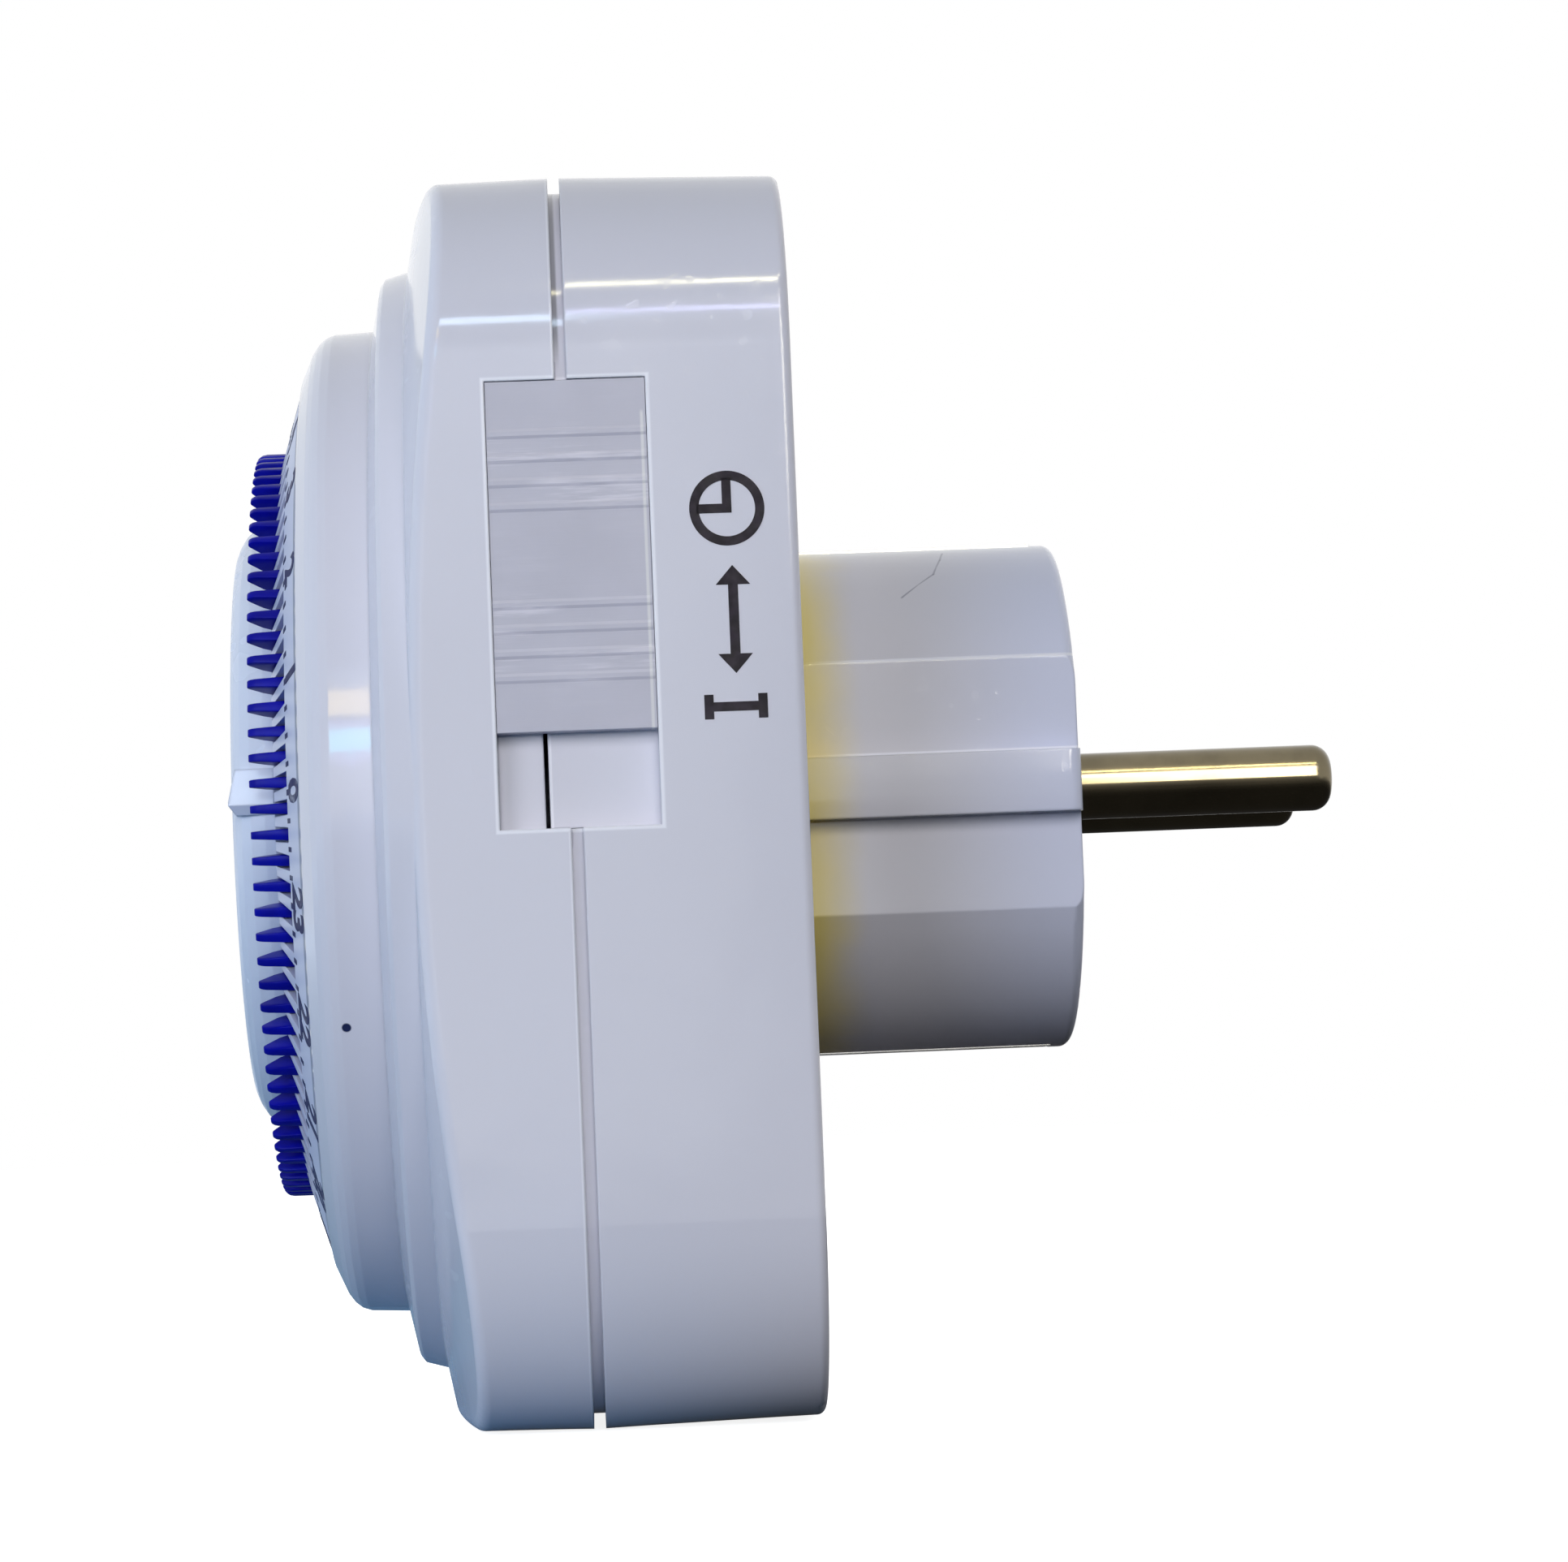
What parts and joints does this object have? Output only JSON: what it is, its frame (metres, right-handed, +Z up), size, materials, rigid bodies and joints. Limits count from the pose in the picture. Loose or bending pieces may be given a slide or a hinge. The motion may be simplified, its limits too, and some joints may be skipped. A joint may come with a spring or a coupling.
{
  "type": "plug in timer switch",
  "caption": "Square plug in daily timer switch with a domed front, push segment dial round a recessed outlet, side override slide and round plug body with two pins.",
  "frame": {"origin": "centre of the plug body's end face, between the two pins", "axes": "+Y along the pins towards the wall outlet, -Y towards the dial and outlet face, +Z up, +X towards the override slide's side"},
  "size_m": [0.082, 0.0791, 0.086],
  "materials": {
    "housing_white": "gloss moulded",
    "insert_white": "gloss moulded",
    "dial_white": "printed satin",
    "segment_blue": "satin",
    "slide_milky": "milky translucent",
    "inner_plastic": "natural",
    "pin_nickel": "nickel plated",
    "contact_brass": "bare",
    "earth_nickel": "nickel plated",
    "steel": "zinc plated",
    "coil_copper": "enamelled winding",
    "lead_insulation": "pvc"
  },
  "bodies": {
    "housing": {"rear_housing": "housing_white", "front_cover": "housing_white", "socket_insert": "insert_white", "friction_washer": "inner_plastic", "lever_arbor": "steel", "contact_terminal": "contact_brass", "fixed_contact": "contact_brass", "line_strap": "contact_brass", "outlet_strap": "contact_brass", "neutral_strap": "contact_brass", "motor_can": "steel", "motor_cap": "steel", "motor_coil": "coil_copper", "gear_arbor": "steel", "housing_screws": "steel", "motor_leads": "lead_insulation", "line_pin": "pin_nickel", "neutral_pin": "pin_nickel", "line_outlet_contact": "contact_brass", "neutral_outlet_contact": "contact_brass", "earth_strap_top": "earth_nickel", "earth_strap_bottom": "earth_nickel"},
    "timer_dial": {"dial": "dial_white"},
    "hour_00": {"hour_00_segments": "segment_blue"},
    "hour_01": {"hour_01_segments": "segment_blue"},
    "hour_02": {"hour_02_segments": "segment_blue"},
    "hour_03": {"hour_03_segments": "segment_blue"},
    "hour_04": {"hour_04_segments": "segment_blue"},
    "hour_05": {"hour_05_segments": "segment_blue"},
    "hour_06": {"hour_06_segments": "segment_blue"},
    "hour_07": {"hour_07_segments": "segment_blue"},
    "hour_08": {"hour_08_segments": "segment_blue"},
    "hour_09": {"hour_09_segments": "segment_blue"},
    "hour_10": {"hour_10_segments": "segment_blue"},
    "hour_11": {"hour_11_segments": "segment_blue"},
    "hour_12": {"hour_12_segments": "segment_blue"},
    "hour_13": {"hour_13_segments": "segment_blue"},
    "hour_14": {"hour_14_segments": "segment_blue"},
    "hour_15": {"hour_15_segments": "segment_blue"},
    "hour_16": {"hour_16_segments": "segment_blue"},
    "hour_17": {"hour_17_segments": "segment_blue"},
    "hour_18": {"hour_18_segments": "segment_blue"},
    "hour_19": {"hour_19_segments": "segment_blue"},
    "hour_20": {"hour_20_segments": "segment_blue"},
    "hour_21": {"hour_21_segments": "segment_blue"},
    "hour_22": {"hour_22_segments": "segment_blue"},
    "hour_23": {"hour_23_segments": "segment_blue"},
    "slide": {"override_slide": "slide_milky"},
    "lever": {"trip_lever": "inner_plastic"},
    "switch_arm": {"contact_arm": "contact_brass"},
    "rotor": {"motor_rotor": "steel", "motor_pinion": "inner_plastic"},
    "reduction": {"reduction_gear": "inner_plastic"}
  },
  "joints": [
    {"name": "dial_spin", "type": "hinge", "parent": "housing", "child": "timer_dial", "pos_m": [0, -0.0546, 0], "axis": [0, 1, 0], "continuous": true},
    {"name": "hour_00_press", "type": "slide", "parent": "timer_dial", "child": "hour_00", "axis": [0, 1, 0], "range_m": [0, 0.0022]},
    {"name": "hour_01_press", "type": "slide", "parent": "timer_dial", "child": "hour_01", "axis": [0, 1, 0], "range_m": [0, 0.0022]},
    {"name": "hour_02_press", "type": "slide", "parent": "timer_dial", "child": "hour_02", "axis": [0, 1, 0], "range_m": [0, 0.0022]},
    {"name": "hour_03_press", "type": "slide", "parent": "timer_dial", "child": "hour_03", "axis": [0, 1, 0], "range_m": [0, 0.0022]},
    {"name": "hour_04_press", "type": "slide", "parent": "timer_dial", "child": "hour_04", "axis": [0, 1, 0], "range_m": [0, 0.0022]},
    {"name": "hour_05_press", "type": "slide", "parent": "timer_dial", "child": "hour_05", "axis": [0, 1, 0], "range_m": [0, 0.0022]},
    {"name": "hour_06_press", "type": "slide", "parent": "timer_dial", "child": "hour_06", "axis": [0, 1, 0], "range_m": [0, 0.0022]},
    {"name": "hour_07_press", "type": "slide", "parent": "timer_dial", "child": "hour_07", "axis": [0, 1, 0], "range_m": [0, 0.0022]},
    {"name": "hour_08_press", "type": "slide", "parent": "timer_dial", "child": "hour_08", "axis": [0, 1, 0], "range_m": [0, 0.0022]},
    {"name": "hour_09_press", "type": "slide", "parent": "timer_dial", "child": "hour_09", "axis": [0, 1, 0], "range_m": [0, 0.0022]},
    {"name": "hour_10_press", "type": "slide", "parent": "timer_dial", "child": "hour_10", "axis": [0, 1, 0], "range_m": [0, 0.0022]},
    {"name": "hour_11_press", "type": "slide", "parent": "timer_dial", "child": "hour_11", "axis": [0, 1, 0], "range_m": [0, 0.0022]},
    {"name": "hour_12_press", "type": "slide", "parent": "timer_dial", "child": "hour_12", "axis": [0, 1, 0], "range_m": [0, 0.0022]},
    {"name": "hour_13_press", "type": "slide", "parent": "timer_dial", "child": "hour_13", "axis": [0, 1, 0], "range_m": [0, 0.0022]},
    {"name": "hour_14_press", "type": "slide", "parent": "timer_dial", "child": "hour_14", "axis": [0, 1, 0], "range_m": [0, 0.0022]},
    {"name": "hour_15_press", "type": "slide", "parent": "timer_dial", "child": "hour_15", "axis": [0, 1, 0], "range_m": [0, 0.0022]},
    {"name": "hour_16_press", "type": "slide", "parent": "timer_dial", "child": "hour_16", "axis": [0, 1, 0], "range_m": [0, 0.0022]},
    {"name": "hour_17_press", "type": "slide", "parent": "timer_dial", "child": "hour_17", "axis": [0, 1, 0], "range_m": [0, 0.0022]},
    {"name": "hour_18_press", "type": "slide", "parent": "timer_dial", "child": "hour_18", "axis": [0, 1, 0], "range_m": [0, 0.0022]},
    {"name": "hour_19_press", "type": "slide", "parent": "timer_dial", "child": "hour_19", "axis": [0, 1, 0], "range_m": [0, 0.0022]},
    {"name": "hour_20_press", "type": "slide", "parent": "timer_dial", "child": "hour_20", "axis": [0, 1, 0], "range_m": [0, 0.0022]},
    {"name": "hour_21_press", "type": "slide", "parent": "timer_dial", "child": "hour_21", "axis": [0, 1, 0], "range_m": [0, 0.0022]},
    {"name": "hour_22_press", "type": "slide", "parent": "timer_dial", "child": "hour_22", "axis": [0, 1, 0], "range_m": [0, 0.0022]},
    {"name": "hour_23_press", "type": "slide", "parent": "timer_dial", "child": "hour_23", "axis": [0, 1, 0], "range_m": [0, 0.0022]},
    {"name": "override_slide_travel", "type": "slide", "parent": "housing", "child": "slide", "axis": [0, 0, -1], "range_m": [0, 0.0063]},
    {"name": "trip_lever_pivot", "type": "hinge", "parent": "housing", "child": "lever", "pos_m": [0.026, -0.0395, 0.0284], "axis": [1, 0, 0], "range_deg": [0, 10.5]},
    {"name": "contact_arm_pivot", "type": "hinge", "parent": "housing", "child": "switch_arm", "pos_m": [0.028, -0.036, 0.0016], "axis": [-1, 0, 0], "range_deg": [0, 2.18]},
    {"name": "reduction_gear_spin", "type": "hinge", "parent": "housing", "child": "reduction", "pos_m": [-0.02376, -0.0386, -0.02831], "axis": [0, 1, 0], "continuous": true},
    {"name": "motor_rotor_spin", "type": "hinge", "parent": "housing", "child": "rotor", "pos_m": [-0.01413, -0.0363, -0.0325], "axis": [0, 1, 0], "continuous": true}
  ],
  "couplings": [
    {"joint": "trip_lever_pivot", "follows": "override_slide_travel", "rad_per_m": 29.089},
    {"joint": "contact_arm_pivot", "follows": "override_slide_travel", "rad_per_m": 6.0394},
    {"joint": "reduction_gear_spin", "follows": "dial_spin", "ratio": -6},
    {"joint": "motor_rotor_spin", "follows": "dial_spin", "ratio": 15}
  ]
}
